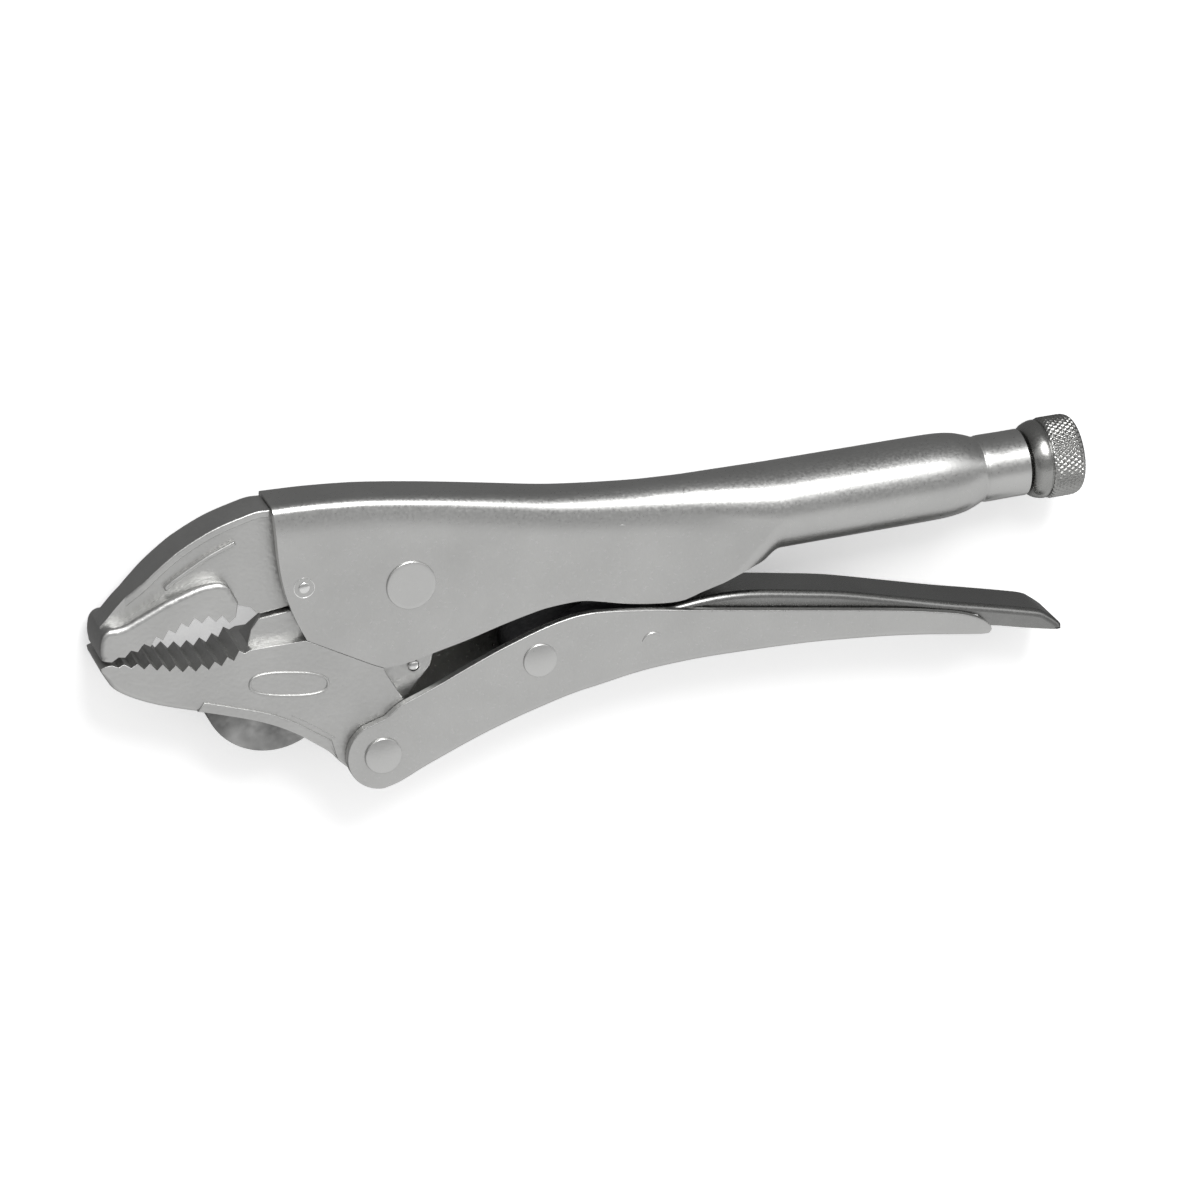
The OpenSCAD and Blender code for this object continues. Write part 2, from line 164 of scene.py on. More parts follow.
def inwards(outline):
    # mitre at each corner: (n0 + n1) / (1 + n0.n1), n0 and n1 the inward normals of its two edges,
    # with the divisor kept over 0.3 so that a sharp corner's mitre stays short
    e = np.roll(outline, -1, 0) - outline
    e /= np.linalg.norm(e, axis=1)[:, None]
    n1 = np.stack([-e[:, 1], e[:, 0]], 1)
    n0 = np.roll(n1, 1, 0)
    return (n0 + n1) / np.maximum(1 + (n0 * n1).sum(1), 0.3)[:, None]


def carriedPlate(outline, low, high, top=0.4, foot=0.4, hold=0.25, steps=4, strip=False):
    # an outline carried from z = low to z = high, with a quarter round of radius r at both rims:
    # inset r(1 - cos a), distance from the cap r(1 - sin a), a from 0 at the wall to 90 degrees;
    # a ring hold wide is kept beside the round, on the wall and on the cap;
    # a strip's outline runs out and back with as many points, and its caps are rows of quads
    p = np.asarray(outline, float)
    x, y = p.T
    if (x * np.roll(y, -1) - y * np.roll(x, -1)).sum() < 0:
        p = p[::-1]
        top, foot = (v[::-1] if np.ndim(v) else v for v in (top, foot))
    m = inwards(p)
    a = np.radians(np.linspace(0, 90, steps + 1))[:, None]

    def rim(r):
        r = np.broadcast_to(np.asarray(r, float), len(p))[None]
        inset = np.vstack([0 * r, r * (1 - np.cos(a)), r + hold])
        nearMiddle = (high - low) / 2 - 0.01
        away = np.vstack([np.minimum(r + hold, nearMiddle), r * (1 - np.sin(a)), 0 * r])
        away[0] = np.maximum(away[0], r[0])
        return inset, away

    inFoot, upFoot = rim(foot)
    inTop, upTop = rim(top)
    inset = np.vstack([inFoot[::-1], inTop])
    z = np.vstack([low + upFoot[::-1], high - upTop])
    xy = p[None] + m[None] * inset[..., None]
    verts = np.concatenate([xy, z[..., None]], -1).reshape(-1, 3)
    rows, n = z.shape
    faces = gridFaces(rows, n, loopCols=True)
    last = (rows - 1) * n
    if strip:
        k = np.arange(n // 2 - 1)
        cap = np.stack([k, k + 1, n - 2 - k, n - 1 - k], 1)
        faces += cap[:, ::-1].tolist() + (cap + last).tolist()
    else:
        faces += [list(range(n))[::-1], list(range(last, last + n))]
    return verts, faces


def turned(profile, centre, along=(0, 0, 1), sides=64):
    # P = centre + r (U cos t + V sin t) + h W, for pairs (r, h); an end with r = 0 is a pole
    w = np.asarray(along, float)
    u = np.array([0, 1, 0]) if abs(w[1]) < 0.9 else np.array([0, 0, 1])
    v = np.cross(w, u)
    r, h = np.asarray(profile, float).T
    t = np.linspace(0, 2 * np.pi, sides, endpoint=False)
    ring = np.cos(t)[:, None] * u + np.sin(t)[:, None] * v
    verts = np.asarray(centre, float) + r[:, None, None] * ring[None] + h[:, None, None] * w
    k = len(r)
    faces = gridFaces(k, sides, loopCols=True)
    if r[0] > 0:
        faces.append(list(range(sides)))
    if r[-1] > 0:
        faces.append(list(range((k - 1) * sides, k * sides)))
    return verts.reshape(-1, 3), faces


def carriedWire(path, r, sides=10):
    # a round section carried along a path: P(s) + r (N cos t + M sin t), N across the path and
    # close to the x-y plane
    p = np.asarray(path, float)
    d = np.gradient(p, axis=0)
    d /= np.linalg.norm(d, axis=1)[:, None]
    nearlyUp = [0.013, 0.007, 1.0]
    side = np.cross(d, np.roll(d, 1, 0) + nearlyUp)
    side /= np.linalg.norm(side, axis=1)[:, None]
    other = np.cross(d, side)
    t = np.linspace(0, 2 * np.pi, sides, endpoint=False)[None, :, None]
    verts = p[:, None] + r * (side[:, None] * np.cos(t) + other[:, None] * np.sin(t))
    faces = gridFaces(len(p), sides, loopCols=True)
    faces += [list(range(sides))[::-1], list(range((len(p) - 1) * sides, len(p) * sides))]
    return verts.reshape(-1, 3), faces


def bothSides(shell):
    verts, faces = shell
    return joined(shell, (verts * [1, 1, -1], [f[::-1] for f in faces]))


def joined(*shells):
    verts, faces, base = [], [], 0
    for v, f in shells:
        verts.append(v)
        faces += [[i + base for i in face] for face in f]
        base += len(v)
    return np.vstack(verts), faces


meshing = dict(merge=2e-6, rimSteps=3, rimAngle=50)


def makePiece(name, shell, look, body, replaces=(), crease=38, rims=None):
    # body is a name to attach the piece to; a tuple (name, name, start, end) leaves the piece unattached,
    # with its transform baked
    verts, faces = shell
    mesh = bpy.data.meshes.new(name)
    mesh.from_pydata((verts * mm).tolist(), [], faces)
    work = bmesh.new()
    work.from_mesh(mesh)
    bmesh.ops.remove_doubles(work, verts=work.verts, dist=meshing["merge"])
    bmesh.ops.recalc_face_normals(work, faces=work.faces)
    work.to_mesh(mesh)
    work.free()
    mesh.shade_smooth()
    mesh.set_sharp_from_angle(angle=math.radians(crease))
    mesh.materials.append(finish[look])
    piece = bpy.data.objects.new(name, mesh)
    bpy.context.scene.collection.objects.link(piece)
    if rims:
        bevel = piece.modifiers.new("rims", "BEVEL")
        bevel.width = rims * mm
        bevel.segments = meshing["rimSteps"]
        bevel.limit_method = "ANGLE"
        bevel.angle_limit = math.radians(meshing["rimAngle"])
    if isinstance(body, str):
        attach(piece, body)
    else:
        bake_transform(piece)
    if replaces:
        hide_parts(*replaces)
    return piece


def pinAt(node):
    # a pivot in millimetres, the middle of its pin's box
    low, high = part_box(node)
    return np.array([(low[0] + high[0]) / 2, (low[1] + high[1]) / 2]) / mm


handleAt, leverAt, jawPinAt = pinAt("handle_rivet"), pinAt("lever_pin"), pinAt("jaw_pin")
springAt, postAt = pinAt("spring_pin"), pinAt("spring_post")

# upper handle: a channel whose top bend widens until the sheet is a closed tube
handleShape = dict(
    sheet=2.4, axisY=1.4, lean=[(60, 15), (84, 0)], leanLength=5.2, tubeFrom=92, openFrom=76,
    frontTop=-31.2, frontFoot=-25.67, frontBulge=2.2, shoulderEnd=(-10.65, -18.218), shoulderSlope=-0.5845,
    shoulderR=21.1, bellyStart=[(-7.3, -19.8), (-3.5, -19.65)],
    spine=[(-31.2, 24.4), (-21.6, 24), (-12, 23.2), (-4.9, 22.3), (7, 20.4), (21.6, 17.8), (33.7, 15.6),
           (41, 14.6), (51, 13.6), (61, 12.9), (76, 12.3), (84, 12.05), (92, 11.9)],
    belly=[(0.2, -19.1), (4.4, -18.1), (12.8, -16.3), (20.8, -14.2), (28.3, -12.5), (33.2, -11.7),
           (40.7, -11.5), (46, -12.6), (52, -14.2), (60, -15.6), (66.1, -15.8), (70.4, -14.5), (76, -12.8)],
    topBend=[(-31.2, 2.6), (0, 3.0), (25, 4.2), (45, 5.6), (60, 6.8), (76, 8.4), (92, 10.5)],
    halfWidth=[(60, 7.6), (70, 8.0), (80, 9.2), (92, 10.5)],
    lowBend=[(76, 0), (80, 12), (84, 30), (88, 52), (92, 89)],
    lowest=[(76, -12.8), (80, -11.2), (84, -10), (88, -9.3), (92, -9.1)],
    tube=[(92, 10.5), (110, 10.45), (128, 10.4), (134.8, 10.25), (138.8, 9.75), (141.4, 9), (143.4, 8.2),
          (144.2, 7.9), (145, 8.1), (146.8, 8.15), (150.8, 8.1), (155.4, 8.1)])


def lineAt(points, x):
    xs, ys = np.asarray(points, float).T
    return np.interp(x, xs, ys)


def makeUpperHandle(s):
    # top line: the spine, then the tube's upper edge; foot line: a straight shoulder, an arc round
    # the main rivet, the belly, and the height at which the wall meets the bend under the tube
    spine, belly, tube = smooth(s["spine"], 8), smooth(s["belly"], 8), smooth(s["tube"], 6)
    top = np.vstack([spine, np.stack([tube[1:, 0], s["axisY"] + tube[1:, 1]], 1)])
    x = top[:, 0]
    isTube, isTail = x > s["tubeFrom"], x > s["openFrom"]
    endX, endY = s["shoulderEnd"]
    share = np.clip((x - s["frontTop"]) / (endX - s["frontTop"]), 0, 1)
    footX = np.where(x < endX, s["frontFoot"] + share * (endX - s["frontFoot"]), x)
    straightY = endY + (footX - endX) * s["shoulderSlope"]
    roundY = -np.sqrt(np.maximum(s["shoulderR"]**2 - footX**2, 0))
    under = np.vstack([s["bellyStart"], belly])
    footY = np.where(footX < endX, straightY, roundY)
    footY = np.where(footX >= under[0, 0], np.interp(footX, *under.T), footY)
    halfW = np.where(isTube, np.interp(x, *tube.T), lineAt(s["halfWidth"], x))
    bendR = np.where(isTube, halfW, lineAt(smooth(s["topBend"], 8), x))
    wrap = np.radians(lineAt(smooth(s["lowBend"], 4), x))
    lowest = np.where(isTube, s["axisY"] - halfW, lineAt(s["lowest"], x))
    wallY = np.where(isTail, lowest + halfW * np.sin(wrap), footY)
    wallY = np.where(isTube, s["axisY"], wallY)
    down = np.stack([footX, wallY], 1) - top
    height = np.linalg.norm(down, axis=1)
    down /= height[:, None]

    # half section, z across and u down from the top line: a flat; a bend r (sin a, 1 - cos a) that
    # stops lean short of upright; a wall z = w - tan(lean) length / 2 (1 - u / length)^2, which is
    # upright after leanLength; and a bend w (cos b, sin b) under the tube
    lean = np.radians(lineAt(s["lean"], x))[:, None]
    drawn = np.tan(lean) * s["leanLength"] / 2
    flat = np.linspace(0, 1, 4, endpoint=False)
    wall = np.linspace(0, 1, 22)[1:]
    w, r, h = (v[:, None] for v in (halfW, bendR, height))
    bent = (np.pi / 2 - lean) * np.linspace(0, 1, 15)
    turn = wrap[:, None] * np.linspace(0, 1, 13)[1:]
    mid = w - drawn - r * np.sin(bent[:, -1:])
    bendEnd = r * (1 - np.cos(bent[:, -1:]))
    wallLength = np.maximum(h - bendEnd, 0)
    left = np.maximum(1 - wallLength * wall / s["leanLength"], 0)
    tilt = np.arctan(np.tan(lean) * left)
    zero = np.zeros((len(x), len(flat)))
    z = np.hstack([mid * flat, mid + r * np.sin(bent), w - drawn * left**2, w * np.cos(turn)])
    u = np.hstack([zero, r * (1 - np.cos(bent)), bendEnd + wallLength * wall,
                   bendEnd + wallLength + w * np.sin(turn)])
    normalZ = np.hstack([zero, np.sin(bent), np.cos(tilt), np.cos(turn)])
    normalU = np.hstack([zero - 1, -np.cos(bent), -np.sin(tilt), np.sin(turn)])

    def skin(inset):
        # the inner skin is the outer one less sheet x normal; the front edge bulges forwards
        zz, uu = z - inset * normalZ, u - inset * normalU
        v = np.clip(uu / h, 0, 1)
        pull = s["frontBulge"] * np.sin(np.pi * v**1.3) * (1 - share[:, None])**2
        xx = top[:, :1] + down[:, :1] * uu - pull
        yy = top[:, 1:] + down[:, 1:] * uu
        half = np.stack([xx, yy, zz], -1)
        return np.concatenate([half[:, :0:-1] * [1, 1, -1], half], 1)

    outer, inner = skin(0), skin(s["sheet"])
    rows, cols = outer.shape[:2]
    ring = np.concatenate([outer, inner[:, ::-1]], 1)
    faces = gridFaces(rows, 2 * cols, loopCols=True)
    # front and rear rims join the outer and inner skins
    k = np.arange(cols - 1)
    for row, way in ((0, 1), (rows - 1, -1)):
        base = row * 2 * cols
        rim = np.stack([base + k, base + 2 * cols - 1 - k, base + 2 * cols - 2 - k, base + k + 1], 1)
        faces += rim[:, ::way].tolist()
    return makePiece("upperHandleChannel", (ring.reshape(-1, 3), faces), "satinNickel",
                     "upper", ["upper_handle"], rims=0.25)


makeUpperHandle(handleShape)
print("upper handle made")

# the teeth of both jaws: they grow from fadeLeast at fadeFrom to their full depth over fadeRun
teethShape = dict(pitch=3.0, depth=1.7, fadeFrom=-76, fadeRun=14, fadeLeast=0.2, softness=0.12)


def toothLine(line, way, s=teethShape):
    # valleys at whole steps of the line's length, tips half way between, moved up or down by depth
    run = np.concatenate([[0], np.cumsum(np.linalg.norm(np.diff(line, axis=0), axis=1))])
    count = int(run[-1] // s["pitch"])
    at = np.linspace(0, run[-1], 2 * count + 1)
    p = np.stack([np.interp(at, run, line[:, k]) for k in (0, 1)], 1)
    p[1::2, 1] += way * s["depth"] * np.clip((p[1::2, 0] - s["fadeFrom"]) / s["fadeRun"], s["fadeLeast"], 1)
    return p


# upper jaw: a thin web under a rolled rim, and a full-width bar that carries the teeth
upperJawShape = dict(
    web=3.6, rimHalf=5.1, rib=4.9, ribWidth=(0.45, -1.0), bar=7.6, shank=5.15, rimWidth=1.9,
    noseNarrow=0.5, noseFrom=-60, noseRun=12, barRound=(1.3, 1.6), noseDip=0.5,
    rim=[(-73.1, 1.1), (-71.2, 2.9), (-68.6, 5.5), (-65.9, 7.8), (-63.1, 10), (-60.6, 12), (-58.1, 13.9),
         (-55.5, 15.7), (-53.1, 17.2), (-48.2, 19.6), (-43.8, 21.3), (-38.5, 22.7), (-34.6, 23.5),
         (-31.3, 23.4)],
    ribLine=[(-57.6, 8.5), (-55.3, 10.1), (-51.6, 12.1), (-48.4, 13.8), (-46, 14.9), (-40.3, 17.1)],
    valleys=[(-73.3, -6.2), (-70.5, -5.6), (-66.5, -4.1), (-62.5, -2.6), (-58.5, -1.1), (-55.3, 0.1),
             (-51.7, 1), (-48.4, 1), (-45.3, 0.5), (-42, -0.6)],
    barTop=[(-41, 2.8), (-42.6, 6.6), (-43.8, 8), (-45.8, 8.6), (-49.1, 8.5), (-52.2, 7.8), (-55.9, 6.7),
            (-58.8, 5.7), (-63.7, 3.6), (-67.6, 2), (-69.8, 1.6)],
    nose=[(-69.8, 1.6), (-71.3, 1.6), (-72.6, 1), (-73.5, -0.2), (-74, -1.9), (-74.2, -3.9),
          (-74, -5.9)],
    webLow=[(-30.6, 21.6), (-28.6, 21.4), (-28.6, -1.7), (-35.2, -2.4), (-36.2, -2), (-37.6, -0.4),
            (-41, 0.8), (-50, 3), (-60, 1.5), (-70, 0), (-72.8, 0)],
    shankLine=[(-15, 21.1), (-22, 21.5), (-30.6, 21.8), (-30.4, 11), (-29.6, 3.4), (-28.6, -1.7),
               (-22.4, -1.6), (-21.4, -1.1), (-19.5, 3.5), (-15, 10.5)])


def makeUpperJaw(s):
    rim = smooth(s["rim"], 5)
    d = np.gradient(rim, axis=0)
    d /= np.linalg.norm(d, axis=1)[:, None]
    rimFoot = rim + s["rimWidth"] * np.stack([d[:, 1], -d[:, 0]], 1)
    web = carriedPlate(np.vstack([rim + [0, -0.05], s["webLow"]]), -s["web"], s["web"],
                       top=0.1, foot=0.1, hold=0.1)
    band = carriedPlate(np.vstack([rim, rimFoot[::-1]]), -s["rimHalf"], s["rimHalf"],
                        top=0.45, foot=0.45, hold=0.1, strip=True)
    line = smooth(s["ribLine"], 5)
    ribShape = np.vstack([line, (line + s["ribWidth"])[::-1]])
    rib = bothSides(carriedPlate(ribShape, s["web"] - 1, s["rib"], top=0.42, foot=0.1, hold=0.02,
                                 strip=True))
    shank = carriedPlate(s["shankLine"], -s["shank"], s["shank"], top=0.3, foot=0.3)
    teeth = toothLine(smooth(s["valleys"], 6), -1)
    barTop, nose = smooth(s["barTop"], 4), smooth(s["nose"], 4)[1:]
    outline = np.vstack([barTop, nose, teeth])
    # a broad round on the bar's upper edge, a little less on the nose, and sharp teeth
    start, stop = s["barRound"]
    noseEdge = stop - s["noseDip"] * np.sin(np.linspace(0, np.pi, len(nose)))
    edge = np.concatenate([np.linspace(start, stop, len(barTop)), noseEdge,
                           np.full(len(teeth), teethShape["softness"])])
    edge = np.convolve(np.pad(edge, 2, mode="wrap"), [0.1, 0.2, 0.4, 0.2, 0.1], "valid")
    edge[len(barTop) + len(nose) + 1:] = teethShape["softness"]
    bar = carriedPlate(outline, -s["bar"], s["bar"], top=edge, foot=edge, hold=0.06)
    # the rim narrows towards the nose: z x (1 - noseNarrow (3q^2 - 2q^3)), q from 0 to 1 over noseRun
    points = band[0]
    q = np.clip((s["noseFrom"] - points[:, 0]) / s["noseRun"], 0, 1)
    points[:, 2] *= 1 - s["noseNarrow"] * q**2 * (3 - 2 * q)
    return makePiece("upperJawForging", joined(web, band, rib, shank, bar), "forgedNickel",
                     "upper", ["upper_jaw"])


makeUpperJaw(upperJawShape)
print("upper jaw made")

# lower jaw: a full-width toothed plate, a narrower tongue between the handle's walls, a half-moon heel
lowerJawShape = dict(
    plate=7.6, tongue=5.0, heel=4.0, tongueR=10.8, heelAt=(-34.5, -21.2), heelR=16.1, eyeR=6.1,
    stripRise=0.4, stripEnds=(-53.5, -20.5), bevel=5, bevelFrom=(-33, -8), bevelFade=(3, 2),
    valleys=[(-73.4, -7.3), (-70.7, -7.9), (-67.7, -8.6), (-64.7, -9.4), (-61.9, -10.2), (-59.2, -11),
             (-56.4, -11.7), (-53.4, -12.2), (-49.8, -12.4), (-46.5, -12.1), (-43.1, -11.2), (-40.6, -9.9)],
    lowEdge=[(-20.1, -41.6), (-22.6, -38.5), (-26.7, -35.1), (-29.2, -33.1), (-34, -30), (-39.8, -27.2),
             (-46.1, -24.8), (-51.2, -23), (-54.7, -21.9), (-59.3, -20.3), (-63.9, -18.4), (-68.4, -16),
             (-71.8, -13.4), (-73.5, -10.5)],
    groove=[(-21.7, -35.6), (-25.1, -33.1), (-29, -30.1), (-33.8, -27.1), (-38.2, -25), (-45.2, -22.4),
            (-49.6, -20.8), (-51.2, -20.3)],
    shoulder=[(-39.2, -9.3), (-26.0, -9.38), (-18.3, -13.88), (-10.71, -18.32)],
    rearArc=dict(r=21.22, fromDeg=239.7, toDeg=248, count=5),
    rear=[(-7.6, -20.8), (-3.4, -29), (-4.1, -36.4)],
    toe=[(-13, -46.2), (-17.4, -44.4)], nose=[(-74.4, -8.6), (-74.5, -7.6)],
    tongueFront=[(-39.4, -9.6), (-38.3, -5.4), (-36.2, -3.1), (-28.6, -2.35), (-10.6, -2.3)],
    tongueRear=[(9.5, -6), (8.4, -8), (3.9, -22.4), (-2.7, -29.5), (-12, -34), (-30, -20)],
    secondLine=[(-30.7, -27.7), (-26, -31), (-20.9, -35.2)], secondWire=0.16,
    badge=dict(at=(-30.8, -19.5), half=(9.4, 2.9), turn=-10.5, wire=0.34, power=2.6))


def ovalRing(b, face, rows=72, sides=10):
    # a round wire along a superellipse (a sgn(cos t)|cos t|^(2/n), b sgn(sin t)|sin t|^(2/n)), with a
    # and b in half and n in power
    t = np.linspace(0, 2 * np.pi, rows, endpoint=False)
    q, turn = np.linspace(0, 2 * np.pi, sides, endpoint=False), math.radians(b["turn"])
    across, up = (np.sign(v) * abs(v)**(2 / b["power"]) for v in (np.cos(t), np.sin(t)))
    grow = 1 + b["wire"] * np.cos(q)[None] / np.array(b["half"])[:, None]
    x, y = across[:, None] * b["half"][0] * grow[0], up[:, None] * b["half"][1] * grow[1]
    ring = np.stack([b["at"][0] + x * math.cos(turn) - y * math.sin(turn),
                     b["at"][1] + x * math.sin(turn) + y * math.cos(turn),
                     face + 0 * x + b["wire"] * np.sin(q)[None]], -1)
    return ring.reshape(-1, 3), gridFaces(rows, sides, loopRows=True, loopCols=True)


def makeLowerJaw(s):
    teeth = toothLine(smooth(s["valleys"], 6), 1)
    rearRound = arc((0, 0), **s["rearArc"])[1:]
    eye = arc(handleAt, s["eyeR"], 35, -100, count=10)
    low = smooth(s["lowEdge"], 4)
    sharpPart = np.vstack([teeth, s["shoulder"], rearRound])
    softPart = np.vstack([s["rear"], eye, s["toe"]])
    outline = np.vstack([sharpPart, softPart, low, s["nose"]])
    # the rims: sharp at the teeth, softer behind, rounded along the lower edge
    edge = np.concatenate([np.full(len(sharpPart), teethShape["softness"]), np.full(len(softPart), 0.25),
                           np.linspace(0.5, 1.3, len(low)), [0.5, 0.2]])
    plate = carriedPlate(outline, -s["plate"], s["plate"], top=edge, foot=edge, hold=0.06)
    tongueLine = np.vstack([s["tongueFront"], arc((0, 0), s["tongueR"], 180, 0, count=16), s["tongueRear"]])
    tongue = carriedPlate(tongueLine, -s["tongue"], s["tongue"], top=0.3, foot=0.3, hold=0.1)
    # the cutter's far flank is bevelled: x grows by bevel (1 - z / tongue) / 2, ahead of and above
    # bevelFrom, where the bevel fades in over the lengths of bevelFade
    points = tongue[0]
    x, y, z = points.T
    (fromX, fromY), (fadeX, fadeY) = s["bevelFrom"], s["bevelFade"]
    nearCutter = np.clip((fromX - x) / fadeX, 0, 1) * np.clip((y - fromY) / fadeY, 0, 1)
    points[:, 0] += s["bevel"] * nearCutter * (1 - z / s["tongue"]) / 2
    # a raised strip between the groove line and the lower edge
    groove = smooth(s["groove"], 4)
    front, rear = s["stripEnds"]
    foot = low[(low[:, 0] > front) & (low[:, 0] < rear)] + [0.05, 0.12]
    at = np.linspace(0, 1, len(groove))
    stripFoot = np.stack([np.interp(at, np.linspace(0, 1, len(foot)), foot[:, k]) for k in (0, 1)], 1)
    strip = bothSides(carriedPlate(np.vstack([groove, stripFoot[::-1]]), s["plate"] - 0.7,
                                   s["plate"] + s["stripRise"], top=0.3, foot=0.05, hold=0.05,
                                   strip=True))
    secondLine = smooth(s["secondLine"], 6)
    secondPath = np.c_[secondLine, np.full(len(secondLine), s["plate"] - 0.02)]
    second = bothSides(carriedWire(secondPath, s["secondWire"], sides=8))
    badge = bothSides(ovalRing(s["badge"], s["plate"]))
    return makePiece("lowerJawForging", joined(plate, tongue, strip, second, badge), "forgedNickel",
                     "jaw", ["lower_jaw"])


def makeHeel(s):
    # the half moon is an arc, closed by a line that the plate hides
    outline = np.vstack([arc(s["heelAt"], s["heelR"], 176, 305, count=60), [(-28, -24), (-42, -18)]])
    moon = carriedPlate(outline, -s["heel"], s["heel"], top=0.5, foot=0.5, hold=0.2)
    return makePiece("lowerJawHeel", moon, "roughForging", "jaw")


makeLowerJaw(lowerJawShape)
makeHeel(lowerJawShape)
print("lower jaw made")

# lower handle: two walls rounded into a web along the lower edge, open towards the upper handle
lowerHandleShape = dict(
    inner=7.8, outer=9.9, bend=0.8, eyeR=8.6, eyeArc=(118, 266), webFrom=-9, webTo=140, fade=(8, 12),
    topEdge=[(-8.8, -31.6), (-5.2, -29.1), (-0.2, -27.2), (4.8, -25.3), (9.8, -23.2), (14.8, -21.2),
             (19.8, -19.3), (24.8, -17.6), (29.9, -16), (34.9, -14.8), (40, -14.1), (46, -14.3),
             (57.1, -15.9), (69.5, -18.2), (94.6, -22.8), (120, -27.5), (130.3, -29.8), (135.4, -31.1),
             (139.3, -32.6), (141.9, -34.2), (143.2, -35.5), (143.6, -36.7)],
    lowEdge=[(-10, -49.3), (-6.3, -48.4), (-1.3, -46.4), (3.7, -44.4), (11.8, -41.3), (18.9, -38.9),
             (26.4, -36.7), (36.5, -34.2), (44, -33), (54.1, -31.5), (64.2, -30.9), (75, -30.9),
             (94.5, -31.7), (107.3, -32.8), (120.1, -34.3), (133, -36.3), (140.5, -37.45), (142.9, -37.6)])


def makeLowerHandle(s):
    topEdge, lowEdge = smooth(s["topEdge"], 4), smooth(s["lowEdge"], 5)
    eye = arc(handleAt, s["eyeR"], *s["eyeArc"], count=30)
    outline = np.vstack([lowEdge, topEdge[::-1], eye])
    # the web's bend is softer than the cut edges and fades out at both of its ends
    sheet = s["outer"] - s["inner"]
    fadeIn = np.clip((lowEdge[:, 0] - s["webFrom"]) / s["fade"][0], 0, 1)
    fade = fadeIn * np.clip((s["webTo"] - lowEdge[:, 0]) / s["fade"][1], 0, 1)
    edge = np.concatenate([0.25 + s["bend"] * fade, np.full(len(topEdge) + len(eye), 0.25)])
    inside = np.concatenate([np.full(len(lowEdge), 0.01), np.full(len(topEdge) + len(eye), 0.2)])
    walls = bothSides(carriedPlate(outline, s["inner"], s["outer"], top=edge, foot=inside, hold=0.15))
    keep = lowEdge[(lowEdge[:, 0] > s["webFrom"]) & (lowEdge[:, 0] < s["webTo"] + 0.1)]
    webShape = np.vstack([keep, (keep + [0, sheet])[::-1]])
    web = carriedPlate(webShape, -s["inner"], s["inner"], top=0.01, foot=0.01, hold=0.02, strip=True)
    return makePiece("lowerHandleChannel", joined(walls, web), "satinNickel", "handle",
                     ["lower_handle"])


makeLowerHandle(lowerHandleShape)
print("lower handle made")

# release lever: a folded strip, its walls inside the lower handle and its tail past the end
leverShape = dict(
    inner=5.4, outer=7.0,
    topEdge=[(45.5, -22.2), (48, -20.9), (52, -19.7), (57, -18.4), (66, -17.1), (75, -16.6), (84, -17.2),
             (96, -19.4), (107, -21.7), (121, -25.6), (133, -29), (143, -31.6), (152, -34), (157.4, -35.6),
             (159.6, -37), (162.2, -39.2), (163.2, -40.4)],
    under=[(162.7, -41.2), (160.6, -41), (153, -39.2), (146.6, -37.5), (142.8, -36.6), (141.6, -35.4),
           (141, -33.6), (133, -31.6), (121, -29.6), (107, -27.6), (96, -26.4), (84, -26.4), (75, -27),
           (66, -28), (57.5, -28.3), (52.5, -27.6), (48, -24.6), (45.5, -22.9)])


def makeLever(s):
    topEdge = smooth(s["topEdge"], 4)
    under = smooth(s["under"], 3)
    outline = np.vstack([topEdge, under])
    sheet = s["outer"] - s["inner"]
    edge = np.concatenate([np.full(len(topEdge), sheet - 0.02), np.full(len(under), 0.2)])
    inside = np.concatenate([np.full(len(topEdge), 0.01), np.full(len(under), 0.15)])
    walls = carriedPlate(outline, s["inner"], s["outer"], top=edge, foot=inside, hold=0.1)
    # the folded top joins the two walls, and stops just short of the tip
    fold = topEdge[:-2]
    top = carriedPlate(np.vstack([fold, (fold + [0.1, -sheet])[::-1]]), -s["inner"], s["inner"],
                       top=0.01, foot=0.01, hold=0.02, strip=True)
    # the lever's finish carries a darker tone that paints in the shade between the handles
    return makePiece("releaseLeverFold", joined(bothSides(walls), top), "foldedNickelPaintedShade",
                     "lever", ["release_lever"])


makeLever(leverShape)
print("release lever made")

# rivets: a head on each face, with a soft rim
rivets = dict(
    main_rivet=dict(name="mainRivetHeads", shank=5.2, head=6.0, face=7.6, rise=0.45, dome=0.0,
                    body="upper"),
    handle_rivet=dict(name="handleRivetHeads", shank=3.9, head=4.5, face=9.9, rise=0.9, dome=0.35,
                      body="handle"),
    link_rivet=dict(name="linkRivetHeads", shank=3.5, head=4.2, face=9.9, rise=0.7, dome=0.3,
                    body="handle"))


def makeRivet(node, s):
    # head profile: a wall, a quarter round of at most 0.35 and a dome h = rise - dome (r / flatR)^2
    a = np.radians(np.linspace(0, 90, 6))
    soft = min(0.35, s["rise"] - s["dome"] - 0.02)
    flatR = s["head"] - soft
    rim = np.stack([flatR + soft * np.cos(a), s["rise"] - s["dome"] - soft + soft * np.sin(a)], 1)
    r = np.linspace(flatR, 0, 9)[1:]
    crown = np.stack([r, s["rise"] - s["dome"] * (r / flatR)**2], 1)
    head = np.vstack([[(s["shank"], -0.05), (s["head"], -0.05)], rim, crown])
    head[:, 1] += s["face"]
    profile = np.vstack([head[::-1] * [1, -1], head])
    place = (*pinAt(node), 0)
    return makePiece(s["name"], turned(profile[::-1], place), "rivetNickel", s["body"],
                     [node])


for node, shape in rivets.items():
    makeRivet(node, shape)

jawPinShape = dict(face=7.6, head=[(2.55, -0.4), (2.55, 0), (2.45, 0.06), (2.3, 0.02), (1.95, -0.5),
                                   (1.7, -0.55), (1.5, -0.1), (1.3, 0.18), (0.9, 0.34), (0.45, 0.42),
                                   (0, 0.44)])


